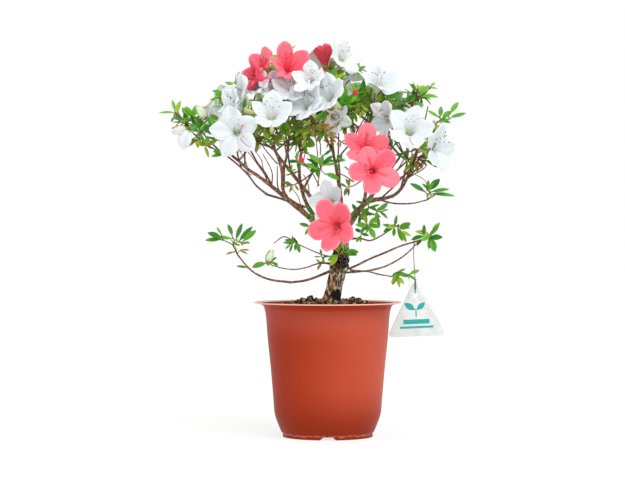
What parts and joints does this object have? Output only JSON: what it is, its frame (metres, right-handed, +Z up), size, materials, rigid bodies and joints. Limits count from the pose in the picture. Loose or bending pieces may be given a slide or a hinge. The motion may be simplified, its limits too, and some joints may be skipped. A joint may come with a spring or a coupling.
{
  "type": "azalea bonsai in a nursery pot",
  "caption": "Flowering azalea grown as a small tree, white and coral blooms over open arching boughs, in a tapered plastic nursery pot with a blank hanging tag.",
  "frame": {"origin": "centre of the pot's flat underside", "axes": "+Z up along the pot's axis, the tallest direction; -Y towards the front of the crown"},
  "size_m": [0.3297, 0.2149, 0.43],
  "materials": {
    "pot": "smooth thermoformed terracotta plastic with a soft sheen",
    "soil": "rough granules",
    "bark": "flaky grey-brown bark",
    "leaf": "soft green leaves",
    "white_blossom": "thin matt petals",
    "coral_blossom": "thin matt petals",
    "tag": "milky sheet plastic",
    "wire": "dull grey coating"
  },
  "bodies": {
    "root": {"pot": "pot", "soil": "soil", "trunk": "bark", "left_bough": "bark", "left_bough_outer": "bark", "left_loop_inner": "bark", "left_loop_outer": "bark", "left_inner_bough": "bark", "left_rear_bough": "bark", "middle_bough": "bark", "centre_bough": "bark", "top_left_bough": "bark", "right_bough": "bark", "right_bough_outer": "bark", "right_inner_bough": "bark", "right_top_bough": "bark", "coral_bough": "bark", "right_rear_bough": "bark", "right_side_bough": "bark", "mid_right_bough": "bark", "lower_right_bough": "bark", "lower_right_low_bough": "bark", "lower_left_bough": "bark", "lower_left_bough_outer": "bark", "lower_left_twig": "bark", "upper_left_twig": "bark", "back_left_bough": "bark", "back_middle_bough": "bark", "back_right_bough": "bark", "left_tip": "leaf", "left_blossom": "white_blossom", "upper_left": "white_blossom", "centre_left": "white_blossom", "crown_top": "coral_blossom", "centre_blossom": "white_blossom", "top_right": "white_blossom", "upper_right": "white_blossom", "right_leaves": "leaf", "far_right": "leaf", "right_blossom": "white_blossom", "coral_pair": "coral_blossom", "inner_centre": "leaf", "right_side": "leaf", "lower_centre": "leaf", "lower_coral": "white_blossom", "lower_right": "leaf", "lower_right_small": "leaf", "mid_right": "leaf", "lower_left": "leaf", "lower_left_bud": "leaf", "lower_left_small": "leaf", "trunk_leaves": "leaf", "back_left": "white_blossom", "back_upper_left": "white_blossom", "back_top": "white_blossom", "back_middle": "white_blossom", "back_right": "white_blossom", "back_far_right": "white_blossom", "tag": "tag", "tag_wire": "wire"}
  },
  "joints": []
}
